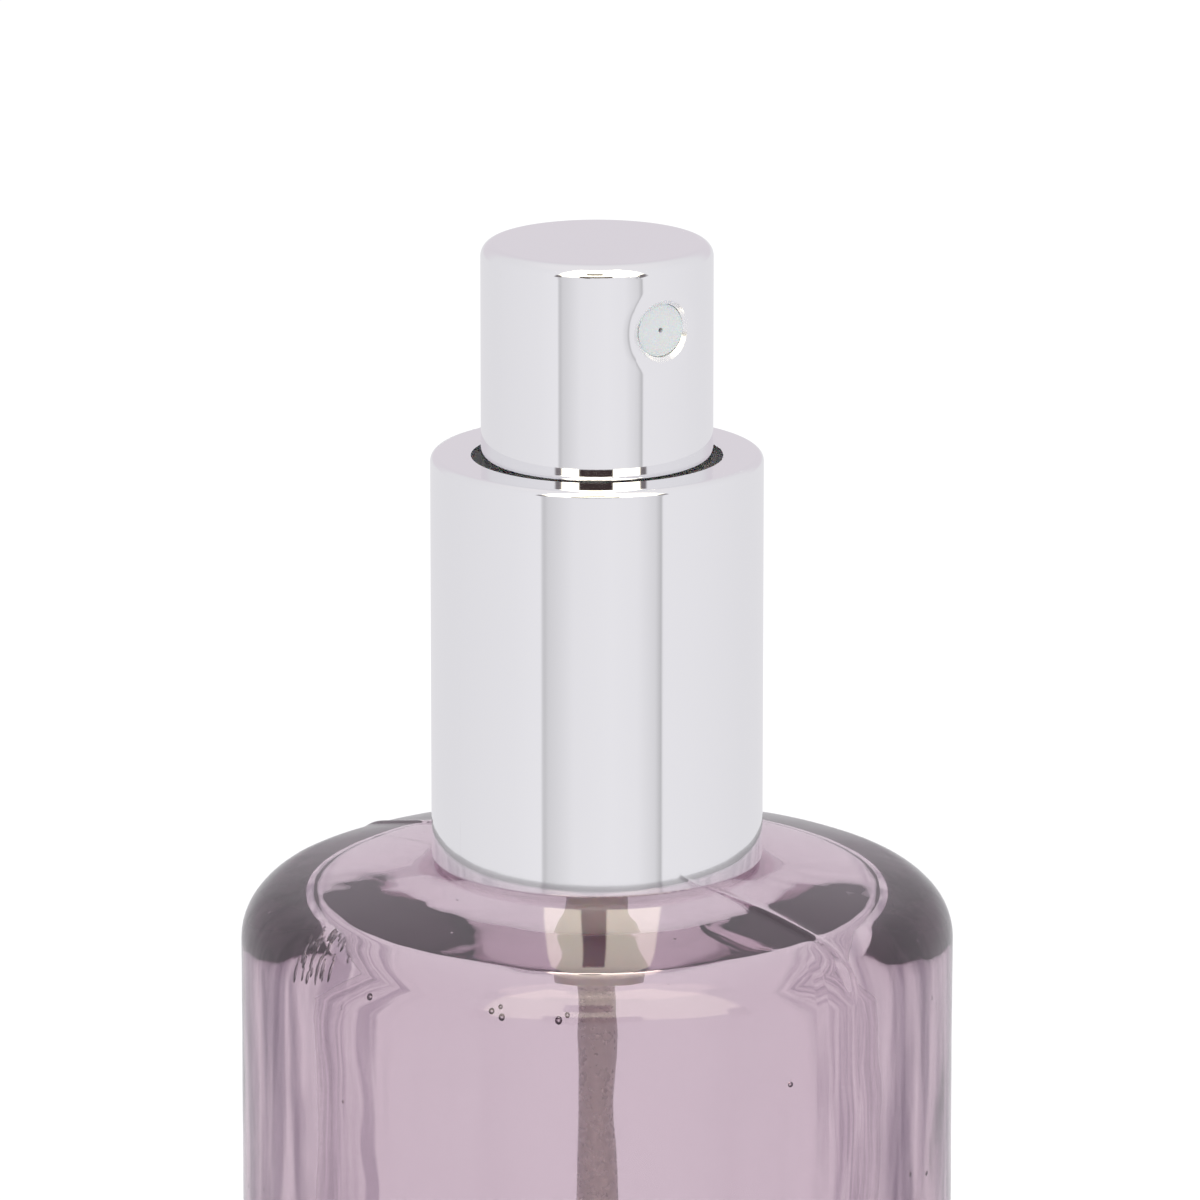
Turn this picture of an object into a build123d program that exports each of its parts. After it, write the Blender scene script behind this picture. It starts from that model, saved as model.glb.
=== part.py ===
from build123d import *
from math import sqrt
import os

# A thick-walled glass perfume bottle with a fine-mist pump under a tall bright collar.
# Millimetres, +Z up, origin at the middle of the base. The front faces -Y.

# Glass body
body_radius = 21.75
shoulder_height = 61.8
shoulder_dome_radius = 90.0
dome_seam_angle = 10.0
shoulder_edge_radius = 3.5
base_edge_radius = 2.5
push_up_depth = 0.6
push_up_radius = 13.0
wall_thickness = 4.45
base_thickness = 7.0
shoulder_thickness = 4.4
cavity_roof_radius = 1.0
cavity_floor_radius = 4.0

# Glass neck and its thread
neck_bore_radius = 4.95
neck_wall = 2.85
neck_height = 14.2
neck_foot_radius = 0.6
neck_mouth_radius = 7.0
neck_lip_radius = 0.4
thread_pitch = 3.175
thread_turns = 1.5
thread_height = 1.0
thread_start = 4.7
bead_foot_share = 0.63
bead_crest_share = 0.28
ridge_foot_share = 0.47
ridge_crest_share = 0.22
thread_root_overlap = 0.1
thread_radial_clearance = 0.25
thread_axial_clearance = 0.03

# Screw closure, sleeve and collar shell
closure_wall = 0.5
closure_flange_thickness = 1.2
closure_lift = 0.3
collar_wall = 0.45
collar_top_thickness = 0.5
collar_edge_radius = 0.45
collar_hole_edge_radius = 0.2
collar_foot_radius = 0.15
collar_gap_to_glass = 0.3
collar_hole_gap = 0.55
sleeve_setback = 0.65
sleeve_wall = 1.35
press_clearance = 0.05

# Pump
gasket_thickness = 0.8
gasket_inset = 0.2
pump_flange_thickness = 1.0
pump_gap_to_neck = 0.75
chamber_wall = 1.0
housing_top_height = 2.2
cap_wall = 0.75
cap_top_thickness = 1.4
cap_gap = 0.3
seal_thickness = 0.8
running_clearance = 0.05
stem_radius = 1.55
stem_channel_radius = 0.6
stem_port_radius = 0.25
stem_port_height = 0.75
stem_flange_gap = 0.6
stem_flange_thickness = 0.8
stop_gap = 0.1
piston_height = 2.55
piston_spring_length = 2.7
piston_lip_share = 0.26
piston_hub_share = 0.38
piston_web_thickness = 0.7
piston_lip_lift = 0.6
valve_gap = 0.05
valve_head_overhang = 0.5
valve_head_thickness = 1.4
valve_shank_length = 0.4
spring_wire_radius = 0.22
spring_turns = 6
spring_reserve = 1.86
piston_spring_wire_radius = 0.15
piston_spring_turns = 4
cage_thickness = 0.5
cage_hole_radius = 0.3
cage_hole_circle = 0.85
cage_hole_count = 4
ball_radius = 1.0
ball_lift = 0.35
ball_clearance = 0.3
seat_clearance = 0.02
inlet_radius = 0.65
inlet_height = 0.6
tube_radius = 1.15
tube_bore_radius = 0.65
tube_socket_depth = 6.4
tube_socket_wall = 1.4
tube_floor_gap = 1.5
tube_tip_angle = 35.0

# Spray button
stroke = 4.5
stroke_clearance = 0.3
skirt_floor_gap = 0.6
skirt_depth = 2.47
actuator_rise = 13.0
actuator_wall = 0.45
actuator_top_thickness = 0.5
actuator_edge_radius = 0.85
core_gap_to_cap = 0.4
core_wall = 1.1
core_top_thickness = 1.4
core_foot_lift = 0.3
boss_radius = 2.7
nozzle_angle = 35.0
nozzle_drop = 4.2
nozzle_hole_radius = 1.62
nozzle_bevel = 0.24
nozzle_boss_wall = 0.9
nozzle_recess = 0.4
nozzle_pocket_floor = 3.9
post_radius = 0.85
post_length = 2.0
insert_clearance = 0.02
insert_wall = 0.65
insert_floor_gap = 0.5
insert_post_gap = 0.1
orifice_radius = 0.15
feed_radius = 0.36
feed_rise = 1.63


def dome_height(radius):
    """Height of the domed shoulder at a distance from the axis."""
    return shoulder_height - shoulder_dome_radius + sqrt(shoulder_dome_radius**2 - radius**2)


# Radii of the cavity, and of the pump and the button, stacked outwards from the neck's bore
cavity_radius = body_radius - wall_thickness
neck_radius = neck_bore_radius + neck_wall
pump_flange_radius = neck_radius - gasket_inset
housing_radius = neck_bore_radius - pump_gap_to_neck
chamber_radius = housing_radius - chamber_wall
stem_flange_radius = chamber_radius - stem_flange_gap
valve_head_radius = stem_radius + valve_head_overhang
ball_chamber_radius = ball_radius + ball_clearance
socket_radius = tube_radius + tube_socket_wall
cap_inner_radius = housing_radius + press_clearance
cap_radius = cap_inner_radius + cap_wall
core_inner_radius = cap_radius + core_gap_to_cap
core_radius = core_inner_radius + core_wall
actuator_inner_radius = core_radius + press_clearance
actuator_radius = actuator_inner_radius + actuator_wall

# Radii of the collar's layers: they clear the neck's thread below and the button above
bead_crest_radius = neck_radius + thread_height
ridge_crest_radius = neck_radius + thread_radial_clearance
closure_root_radius = bead_crest_radius + thread_radial_clearance
closure_hole_radius = cap_radius + cap_gap
collar_hole_radius = actuator_radius + collar_hole_gap
sleeve_inner_radius = collar_hole_radius + sleeve_setback
closure_radius = max(closure_root_radius + closure_wall, sleeve_inner_radius + sleeve_wall)
collar_inner_radius = closure_radius + press_clearance
collar_radius = collar_inner_radius + collar_wall

# Heights, from the cavity's roof up to the top of the spray button
cavity_roof = shoulder_height - shoulder_thickness
neck_top = shoulder_height + neck_height
pump_flange_bottom = neck_top + gasket_thickness
pump_flange_top = pump_flange_bottom + pump_flange_thickness
closure_top = pump_flange_top + closure_flange_thickness
housing_top = pump_flange_top + housing_top_height
cap_top = housing_top + cap_top_thickness
skirt_bottom = closure_top + stroke + skirt_floor_gap
core_bottom = skirt_bottom + core_foot_lift
boss_bottom = cap_top + stroke + stroke_clearance
collar_top = skirt_bottom + skirt_depth
collar_bottom = dome_height(collar_radius) + collar_gap_to_glass
closure_bottom = collar_bottom + closure_lift
actuator_top = collar_top + actuator_rise
core_top = actuator_top - actuator_top_thickness

# The nozzle's own plane looks out along the spray; its feed runs below the post
nozzle_height = actuator_top - nozzle_drop
spray = Vector(0, -1, 0).rotate(Axis.Z, nozzle_angle)
nozzle_plane = Plane(origin=(0, 0, nozzle_height), x_dir=Vector(0, 0, 1), z_dir=spray)
nozzle_face = actuator_radius - nozzle_recess
feed_height = nozzle_height - (post_radius + nozzle_hole_radius) / 2
socket_ceiling = feed_height - feed_rise
stem_top = socket_ceiling - stop_gap

# Heights from the stem's seal down to the dip tube
seal_bottom = housing_top - seal_thickness
stem_flange_top = seal_bottom - stop_gap
stem_flange_bottom = stem_flange_top - stem_flange_thickness
piston_top = stem_flange_bottom - piston_spring_length
piston_bottom = piston_top - piston_height
valve_head_top = piston_bottom - valve_gap
valve_head_bottom = valve_head_top - valve_head_thickness
return_spring_length = stroke + 2 * spring_turns * spring_wire_radius + spring_reserve
cage_top = valve_head_bottom - return_spring_length
cage_bottom = cage_top - cage_thickness
ball_centre = cage_bottom - ball_lift - ball_radius - seat_clearance
ball_seat = ball_centre - sqrt(ball_radius**2 - inlet_radius**2) - seat_clearance
socket_top = ball_seat - inlet_height
socket_bottom = socket_top - tube_socket_depth
tube_bottom = base_thickness + tube_floor_gap

# The threads: the closure's ridge lies under the bead on the neck
bead_foot_width = thread_pitch * bead_foot_share
bead_crest_width = thread_pitch * bead_crest_share
ridge_foot_width = thread_pitch * ridge_foot_share
ridge_crest_width = thread_pitch * ridge_crest_share
bead_start = shoulder_height + thread_start
ridge_start = bead_start - (bead_foot_width + ridge_crest_width) / 2 - thread_axial_clearance
thread_rise = thread_pitch * thread_turns

os.makedirs("parts", exist_ok=True)


# ---- Glass ----

with BuildPart() as cavity:
    # half of its section: the floor, the wall, the roof and the bore that leads out of it
    with BuildSketch(Plane.XZ) as section:
        with BuildLine():
            Polyline(
                (0, base_thickness), (cavity_radius, base_thickness), (cavity_radius, cavity_roof),
                (neck_bore_radius, cavity_roof), (neck_bore_radius, neck_top), (0, neck_top), close=True,
            )
        make_face()
        for radius, corner in (
            (cavity_floor_radius, (cavity_radius, base_thickness)),
            (cavity_roof_radius, (cavity_radius, cavity_roof)),
            (neck_mouth_radius, (neck_bore_radius, cavity_roof)),
        ):
            fillet(section.vertices().sort_by_distance(corner)[0], radius=radius)
    revolve(axis=Axis.Z)

with BuildPart() as glass_bottle:
    with BuildSketch():
        Circle(body_radius)
    extrude(amount=shoulder_height)
    # the shoulder is a shallow dome that rounds over into the sides; the sphere is turned
    # so that its seam doesn't lie along the seam of the neck
    with Locations((0, 0, shoulder_height - shoulder_dome_radius)):
        Sphere(shoulder_dome_radius, rotation=(0, 0, dome_seam_angle), mode=Mode.INTERSECT)
    fillet(glass_bottle.faces().sort_by(Axis.Z)[-1].edges(), radius=shoulder_edge_radius)
    fillet(glass_bottle.faces().sort_by(Axis.Z)[0].edges(), radius=base_edge_radius)
    # a shallow push-up, so that the bottle stands on a rim
    with BuildSketch():
        Circle(push_up_radius)
    extrude(amount=push_up_depth, mode=Mode.SUBTRACT)
    # the neck grows out of the shoulder
    with BuildSketch(Plane.XY.offset(shoulder_height - shoulder_thickness / 2)):
        Circle(neck_radius)
    extrude(amount=neck_height + shoulder_thickness / 2)
    fillet(
        glass_bottle.edges().filter_by(GeomType.CIRCLE).filter_by_position(
            Axis.Z, dome_height(neck_radius) - neck_lip_radius, dome_height(neck_radius) + neck_lip_radius
        ),
        radius=neck_foot_radius,
    )
    add(cavity.part, mode=Mode.SUBTRACT)
    # the lip is fire-rounded
    fillet(glass_bottle.faces().sort_by(Axis.Z)[-1].edges(), radius=neck_lip_radius)
    # the thread's bead, a helix of one and a half turns
    with BuildLine():
        Helix(pitch=thread_pitch, height=thread_rise, radius=neck_radius, center=(0, 0, bead_start))
    with BuildSketch(Plane.XZ):
        with BuildLine():
            Polyline(
                (neck_radius - thread_root_overlap, bead_start - bead_foot_width / 2),
                (neck_radius, bead_start - bead_foot_width / 2),
                (bead_crest_radius, bead_start - bead_crest_width / 2),
                (bead_crest_radius, bead_start + bead_crest_width / 2),
                (neck_radius, bead_start + bead_foot_width / 2),
                (neck_radius - thread_root_overlap, bead_start + bead_foot_width / 2),
                close=True,
            )
        make_face()
    sweep(is_frenet=True)
glass_bottle.part.label = "glass_bottle"
export_step(glass_bottle.part, "parts/glass_bottle.step")


# ---- Closure, sleeve and collar shell ----

with BuildPart() as screw_closure:
    with BuildSketch(Plane.XY.offset(closure_bottom)):
        Circle(closure_radius)
        Circle(closure_root_radius, mode=Mode.SUBTRACT)
    extrude(amount=pump_flange_top - closure_bottom)
    with BuildSketch(Plane.XY.offset(pump_flange_top)):
        Circle(closure_radius)
        Circle(closure_hole_radius, mode=Mode.SUBTRACT)
    extrude(amount=closure_flange_thickness)
    # the ridge that runs under the neck's bead
    with BuildLine():
        Helix(
            pitch=thread_pitch, height=thread_rise, radius=closure_root_radius, center=(0, 0, ridge_start)
        )
    with BuildSketch(Plane.XZ):
        with BuildLine():
            Polyline(
                (closure_root_radius + thread_root_overlap, ridge_start - ridge_foot_width / 2),
                (closure_root_radius, ridge_start - ridge_foot_width / 2),
                (ridge_crest_radius, ridge_start - ridge_crest_width / 2),
                (ridge_crest_radius, ridge_start + ridge_crest_width / 2),
                (closure_root_radius, ridge_start + ridge_foot_width / 2),
                (closure_root_radius + thread_root_overlap, ridge_start + ridge_foot_width / 2),
                close=True,
            )
        make_face()
    sweep(is_frenet=True)
screw_closure.part.label = "screw_closure"
export_step(screw_closure.part, "parts/screw_closure.step")

with BuildPart() as collar_sleeve:
    with BuildSketch(Plane.XY.offset(closure_top)):
        Circle(closure_radius)
        Circle(sleeve_inner_radius, mode=Mode.SUBTRACT)
    extrude(amount=collar_top - collar_top_thickness - closure_top)
collar_sleeve.part.label = "collar_sleeve"
export_step(collar_sleeve.part, "parts/collar_sleeve.step")

with BuildPart() as collar_shell:
    with BuildSketch(Plane.XY.offset(collar_bottom)):
        Circle(collar_radius)
    extrude(amount=collar_top - collar_bottom)
    with BuildSketch(Plane.XY.offset(collar_bottom)):
        Circle(collar_inner_radius)
    extrude(amount=collar_top - collar_top_thickness - collar_bottom, mode=Mode.SUBTRACT)
    with BuildSketch(Plane.XY.offset(collar_top)):
        Circle(collar_hole_radius)
    extrude(amount=-collar_top_thickness, mode=Mode.SUBTRACT)
    top_edges = collar_shell.faces().sort_by(Axis.Z)[-1].edges().sort_by(SortBy.RADIUS)
    fillet(top_edges[0], radius=collar_hole_edge_radius)
    fillet(top_edges[-1], radius=collar_edge_radius)
    fillet(collar_shell.faces().sort_by(Axis.Z)[0].edges(), radius=collar_foot_radius)
collar_shell.part.label = "collar_shell"
export_step(collar_shell.part, "parts/collar_shell.step")


# ---- Pump ----

with BuildPart() as neck_gasket:
    with BuildSketch(Plane.XY.offset(neck_top)):
        Circle(pump_flange_radius)
        Circle(housing_radius + press_clearance, mode=Mode.SUBTRACT)
    extrude(amount=gasket_thickness)
neck_gasket.part.label = "neck_gasket"
export_step(neck_gasket.part, "parts/neck_gasket.step")

with BuildPart() as pump_housing:
    with BuildSketch(Plane.XZ):
        with BuildLine():
            Polyline(
                (chamber_radius, housing_top),
                (chamber_radius, cage_bottom),
                (ball_chamber_radius, cage_bottom),
                (ball_chamber_radius, ball_seat),
                (inlet_radius, ball_seat),
                (inlet_radius, socket_top),
                (tube_radius + press_clearance, socket_top),
                (tube_radius + press_clearance, socket_bottom),
                (socket_radius, socket_bottom),
                (socket_radius, ball_seat),
                (housing_radius, cage_bottom),
                (housing_radius, pump_flange_bottom),
                (pump_flange_radius, pump_flange_bottom),
                (pump_flange_radius, pump_flange_top),
                (housing_radius, pump_flange_top),
                (housing_radius, housing_top),
                close=True,
            )
        make_face()
    revolve(axis=Axis.Z)
pump_housing.part.label = "pump_housing"
export_step(pump_housing.part, "parts/pump_housing.step")

with BuildPart() as pump_cap:
    with BuildSketch(Plane.XY.offset(pump_flange_top)):
        Circle(cap_radius)
    extrude(amount=cap_top - pump_flange_top)
    fillet(pump_cap.edges().group_by(Axis.Z)[-1], radius=cap_wall / 2)
    with BuildSketch(Plane.XY.offset(pump_flange_top)):
        Circle(cap_inner_radius)
    extrude(amount=housing_top_height, mode=Mode.SUBTRACT)
    with BuildSketch(Plane.XY.offset(housing_top)):
        Circle(stem_radius + running_clearance)
    extrude(amount=cap_top_thickness, mode=Mode.SUBTRACT)
pump_cap.part.label = "pump_cap"
export_step(pump_cap.part, "parts/pump_cap.step")

with BuildPart() as stem_seal:
    with BuildSketch(Plane.XY.offset(seal_bottom)):
        Circle(chamber_radius - press_clearance)
        Circle(stem_radius + running_clearance, mode=Mode.SUBTRACT)
    extrude(amount=seal_thickness)
stem_seal.part.label = "stem_seal"
export_step(stem_seal.part, "parts/stem_seal.step")

with BuildPart() as ball_cage:
    with BuildSketch(Plane.XY.offset(cage_bottom)):
        Circle(chamber_radius - press_clearance)
        with PolarLocations(cage_hole_circle, cage_hole_count):
            Circle(cage_hole_radius, mode=Mode.SUBTRACT)
    extrude(amount=cage_thickness)
ball_cage.part.label = "ball_cage"
export_step(ball_cage.part, "parts/ball_cage.step")

with BuildPart() as check_ball:
    with Locations((0, 0, ball_centre)):
        Sphere(ball_radius)
check_ball.part.label = "check_ball"
export_step(check_ball.part, "parts/check_ball.step")

with BuildPart() as dip_tube:
    with BuildSketch(Plane.XY.offset(tube_bottom)):
        Circle(tube_radius)
        Circle(tube_bore_radius, mode=Mode.SUBTRACT)
    extrude(amount=socket_top - tube_bottom)
    # the tip is cut at a slant, so that it can't seal against the floor
    tip_plane = Plane(origin=(tube_radius, 0, tube_bottom), z_dir=(0, 0, 1)).rotated((0, tube_tip_angle, 0))
    split(bisect_by=tip_plane, keep=Keep.TOP)
dip_tube.part.label = "dip_tube"
export_step(dip_tube.part, "parts/dip_tube.step")

with BuildPart() as stem:
    with BuildSketch(Plane.XY.offset(valve_head_top)):
        Circle(stem_radius)
    extrude(amount=stem_top - valve_head_top)
    with BuildSketch(Plane.XY.offset(stem_flange_bottom)):
        Circle(stem_flange_radius)
    extrude(amount=stem_flange_thickness)
    with BuildSketch(Plane.XY.offset(valve_head_top)):
        Circle(stem_channel_radius)
    extrude(amount=stem_top - valve_head_top, mode=Mode.SUBTRACT)
    # two crossing ports, covered by the piston at rest
    port_height = valve_head_top + stem_port_height
    for port_plane in (Plane.XZ, Plane.YZ):
        with BuildSketch(port_plane):
            with Locations((0, port_height)):
                Circle(stem_port_radius)
        extrude(amount=stem_radius + running_clearance, both=True, mode=Mode.SUBTRACT)
stem.part.label = "stem"
export_step(stem.part, "parts/stem.step")

with BuildPart() as valve_pin:
    with BuildSketch(Plane.XY.offset(valve_head_bottom)):
        Circle(valve_head_radius)
    extrude(amount=valve_head_thickness)
    with BuildSketch(Plane.XY.offset(valve_head_top)):
        Circle(stem_channel_radius - seat_clearance)
    extrude(amount=valve_shank_length)
valve_pin.part.label = "valve_pin"
export_step(valve_pin.part, "parts/valve_pin.step")

with BuildPart() as piston:
    with BuildSketch(Plane.XZ):
        with BuildLine():
            piston_outer = chamber_radius - running_clearance
            piston_inner = stem_radius + running_clearance
            lip_inner = piston_outer - (piston_outer - piston_inner) * piston_lip_share
            hub_outer = piston_inner + (piston_outer - piston_inner) * piston_hub_share
            web_bottom = piston_bottom + (piston_height - piston_web_thickness) / 2
            web_top = web_bottom + piston_web_thickness
            Polyline(
                (piston_inner, piston_bottom),
                (hub_outer, piston_bottom),
                (hub_outer, web_bottom),
                (lip_inner, web_bottom),
                (lip_inner, piston_bottom + piston_lip_lift),
                (piston_outer, piston_bottom + piston_lip_lift),
                (piston_outer, piston_top),
                (lip_inner, piston_top),
                (lip_inner, web_top),
                (hub_outer, web_top),
                (hub_outer, piston_top),
                (piston_inner, piston_top),
                close=True,
            )
        make_face()
    revolve(axis=Axis.Z)
piston.part.label = "piston"
export_step(piston.part, "parts/piston.step")

with BuildPart() as piston_spring:
    wire = piston_spring_wire_radius
    coil_radius = stem_radius + running_clearance + 2 * wire
    with BuildLine():
        Helix(
            pitch=(piston_spring_length - 2 * wire) / piston_spring_turns,
            height=piston_spring_length - 2 * wire,
            radius=coil_radius,
            center=(0, 0, piston_top + wire),
        )
    with BuildSketch(Plane.XZ):
        with Locations((coil_radius, piston_top + wire)):
            Circle(wire)
    sweep(is_frenet=True)
piston_spring.part.label = "piston_spring"
export_step(piston_spring.part, "parts/piston_spring.step")

with BuildPart() as return_spring:
    coil_radius = valve_head_radius - 2 * spring_wire_radius
    with BuildLine():
        Helix(
            pitch=(return_spring_length - 2 * spring_wire_radius) / spring_turns,
            height=return_spring_length - 2 * spring_wire_radius,
            radius=coil_radius,
            center=(0, 0, cage_top + spring_wire_radius),
        )
    with BuildSketch(Plane.XZ):
        with Locations((coil_radius, cage_top + spring_wire_radius)):
            Circle(spring_wire_radius)
    sweep(is_frenet=True)
return_spring.part.label = "return_spring"
export_step(return_spring.part, "parts/return_spring.step")


# ---- Spray button ----

with BuildPart() as actuator_shell:
    with BuildSketch(Plane.XY.offset(skirt_bottom)):
        Circle(actuator_radius)
    extrude(amount=actuator_top - skirt_bottom)
    fillet(actuator_shell.edges().group_by(Axis.Z)[-1], radius=actuator_edge_radius)
    with BuildSketch(Plane.XY.offset(skirt_bottom)):
        Circle(actuator_inner_radius)
    extrude(amount=core_top - skirt_bottom, mode=Mode.SUBTRACT)
    with BuildSketch(nozzle_plane):
        Circle(nozzle_hole_radius)
    extrude(amount=actuator_radius, mode=Mode.SUBTRACT)
    # the outer edge of the nozzle's hole is bevelled
    hole_edges = actuator_shell.edges().filter_by(GeomType.BSPLINE)
    chamfer(hole_edges.sort_by(Axis((0, 0, nozzle_height), spray))[-1], length=nozzle_bevel)
actuator_shell.part.label = "actuator_shell"
export_step(actuator_shell.part, "parts/actuator_shell.step")

with BuildPart() as actuator_core:
    with BuildSketch(Plane.XY.offset(core_bottom)):
        Circle(core_radius)
        Circle(core_inner_radius, mode=Mode.SUBTRACT)
    extrude(amount=core_top - core_bottom)
    with BuildSketch(Plane.XY.offset(core_top)):
        Circle(core_radius)
    extrude(amount=-core_top_thickness)
    with BuildSketch(Plane.XY.offset(boss_bottom)):
        Circle(boss_radius)
    extrude(amount=core_top - boss_bottom)
    # the nozzle's boss reaches from the middle to the wall
    with BuildSketch(nozzle_plane):
        Circle(nozzle_hole_radius + nozzle_boss_wall)
    extrude(amount=core_inner_radius + core_wall / 2)
    # the pocket for the insert, with its post left standing
    with BuildSketch(nozzle_plane.offset(nozzle_pocket_floor)):
        Circle(nozzle_hole_radius)
        Circle(post_radius, mode=Mode.SUBTRACT)
    extrude(amount=post_length, mode=Mode.SUBTRACT)
    with BuildSketch(nozzle_plane.offset(nozzle_pocket_floor + post_length)):
        Circle(nozzle_hole_radius)
    extrude(amount=core_radius - nozzle_pocket_floor, mode=Mode.SUBTRACT)
    # the stem's socket, and the feed up and out to the pocket
    with BuildSketch(Plane.XY.offset(boss_bottom)):
        Circle(stem_radius + running_clearance)
    extrude(amount=socket_ceiling - boss_bottom, mode=Mode.SUBTRACT)
    with BuildSketch(Plane.XY.offset(socket_ceiling)):
        Circle(feed_radius)
    extrude(amount=feed_rise, mode=Mode.SUBTRACT)
    feed_plane = Plane(origin=(0, 0, feed_height), x_dir=Vector(0, 0, 1), z_dir=spray)
    with BuildSketch(feed_plane):
        Circle(feed_radius)
    extrude(amount=nozzle_pocket_floor + insert_floor_gap, mode=Mode.SUBTRACT)
actuator_core.part.label = "actuator_core"
export_step(actuator_core.part, "parts/actuator_core.step")

with BuildPart() as nozzle_insert:
    insert_radius = nozzle_hole_radius - insert_clearance
    insert_back = nozzle_pocket_floor + insert_floor_gap
    chamber_end = nozzle_pocket_floor + post_length + insert_post_gap
    with BuildSketch(nozzle_plane.offset(insert_back)):
        Circle(insert_radius)
    extrude(amount=nozzle_face - insert_back)
    with BuildSketch(nozzle_plane.offset(insert_back)):
        Circle(insert_radius - insert_wall)
    extrude(amount=chamber_end - insert_back, mode=Mode.SUBTRACT)
    with BuildSketch(nozzle_plane.offset(chamber_end)):
        Circle(orifice_radius)
    extrude(amount=nozzle_face - chamber_end, mode=Mode.SUBTRACT)
nozzle_insert.part.label = "nozzle_insert"
export_step(nozzle_insert.part, "parts/nozzle_insert.step")
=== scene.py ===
# %% [markdown]
# # A perfume bottle with a fine-mist spray button
# The bottle is thick lilac glass, round, with a domed shoulder. A tall bright collar screws on its neck,
# and a round spray button stands in the collar. The working parts come ready made from the CAD frame.
# This lesson gives them their finishes, and models again what the CAD holds only plainly: the glass with
# its slightly uneven blown walls, the parting line and the seed in it, the neck's thread and two springs.

# %% Load the fixed frame
import math
import random

import bmesh
import bpy
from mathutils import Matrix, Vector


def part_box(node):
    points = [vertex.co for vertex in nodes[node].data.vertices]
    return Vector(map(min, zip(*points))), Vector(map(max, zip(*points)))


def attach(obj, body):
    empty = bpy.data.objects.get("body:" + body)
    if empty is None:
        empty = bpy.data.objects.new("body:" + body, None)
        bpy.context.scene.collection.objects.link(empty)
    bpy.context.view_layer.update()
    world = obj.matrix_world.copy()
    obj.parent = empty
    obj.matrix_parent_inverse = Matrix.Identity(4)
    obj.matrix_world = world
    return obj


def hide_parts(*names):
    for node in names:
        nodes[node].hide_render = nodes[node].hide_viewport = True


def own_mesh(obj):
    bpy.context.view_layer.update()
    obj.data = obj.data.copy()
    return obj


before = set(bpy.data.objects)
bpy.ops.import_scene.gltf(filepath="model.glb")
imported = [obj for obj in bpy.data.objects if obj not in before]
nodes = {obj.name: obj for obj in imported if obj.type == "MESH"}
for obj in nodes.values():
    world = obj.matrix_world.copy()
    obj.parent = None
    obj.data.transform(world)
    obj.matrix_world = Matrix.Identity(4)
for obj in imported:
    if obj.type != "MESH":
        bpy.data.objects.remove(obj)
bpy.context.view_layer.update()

MM = 0.001
scene = bpy.context.scene
glass_low, glass_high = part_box("glass_bottle")
button_low, button_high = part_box("actuator_shell")
print("the glass is", [round(v / MM, 1) for v in glass_high - glass_low], "mm")

# %% [markdown]
# ## A small language for materials
# A Blender material is a graph of nodes. Wiring many of them by hand is hard to read, so a small class
# wraps an output socket and overloads Python's operators: `a * 0.5 + b` then adds the Math nodes itself.
# Any other node comes from one method, which takes the node's type, its settings and its inputs.

# %% A socket with operators, and a node tree that adds nodes
class Signal:
    """The output of a node, which Python's arithmetic turns into Math nodes."""

    def __init__(self, tree, socket):
        self.tree, self.socket = tree, socket

    def math(self, operation, *others):
        return self.tree.add("ShaderNodeMath", {"operation": operation}, self, *others)

    def __add__(self, other):
        return self.math("ADD", other)

    def __sub__(self, other):
        return self.math("SUBTRACT", other)

    def __mul__(self, other):
        return self.math("MULTIPLY", other)

    def __truediv__(self, other):
        return self.math("DIVIDE", other)

    def __rsub__(self, other):
        return self.tree.add("ShaderNodeMath", {"operation": "SUBTRACT"}, other, self)

    def __pow__(self, other):
        return self.math("POWER", other)

    def __gt__(self, other):
        return self.math("GREATER_THAN", other)

    __radd__ = __add__
    __rmul__ = __mul__


class Tree:
    """A node tree that grows one node at a time."""

    def __init__(self, owner):
        owner.use_nodes = True
        self.nodes, self.links = owner.node_tree.nodes, owner.node_tree.links
        self.nodes.clear()

    def add(self, kind, settings=None, *inputs, out=0, **named):
        """A node of that kind. Its settings come first, then its inputs, by place or by name."""
        node = self.nodes.new(kind)
        for name, value in (settings or {}).items():
            if name == "stops":
                self.set_stops(node.color_ramp, value)
            else:
                setattr(node, name, value)
        for key, value in [*enumerate(inputs), *named.items()]:
            socket = node.inputs[key if isinstance(key, int) else key.replace("_", " ")]
            if isinstance(value, Signal):
                self.links.new(value.socket, socket)
            else:
                socket.default_value = value
        return Signal(self, node.outputs[out]) if node.outputs else node

    @staticmethod
    def set_stops(ramp, stops):
        while len(ramp.elements) < len(stops):
            ramp.elements.new(1.0)
        for element, (position, color) in zip(ramp.elements, stops):
            element.position, element.color = position, (*color, 1.0)

    def noise(self, scale, detail):
        """Soft noise in the piece's own place. A larger scale is finer."""
        place = self.add("ShaderNodeTexCoord", out="Object")
        return self.add("ShaderNodeTexNoise", {}, out="Fac", Vector=place, Scale=scale, Detail=detail)

    def split(self, vector):
        """The three parts of a vector."""
        return [self.add("ShaderNodeSeparateXYZ", {}, vector, out=axis) for axis in range(3)]

    def mix(self, factor, a, b):
        """The colour a where the factor is 0, and b where it is 1."""
        node = self.add("ShaderNodeMix", {"data_type": "RGBA"}, factor, out=2).socket.node
        for socket, value in ((node.inputs[6], a), (node.inputs[7], b)):
            if isinstance(value, Signal):
                self.links.new(value.socket, socket)
            else:
                socket.default_value = value
        return Signal(self, node.outputs[2])


def rgb(red, green, blue):
    return (red, green, blue, 1.0)


# %% [markdown]
# ## Camera and studio
# The bottle is looked at from a little above, through a long lens. The studio is a white table under a
# white tent: bright boards left and right, whose edges show in bright metal as thin grey lines, a greyish
# ceiling, and a warm window of light high in front, with the dark camera in it. All of the tent is drawn
# on the world by its azimuth and elevation, so that mirrors and glass see it from any side. Matt surfaces
# see an even grey instead, and one soft lamp gives the table its light and the bottle its faint shadow.

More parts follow.
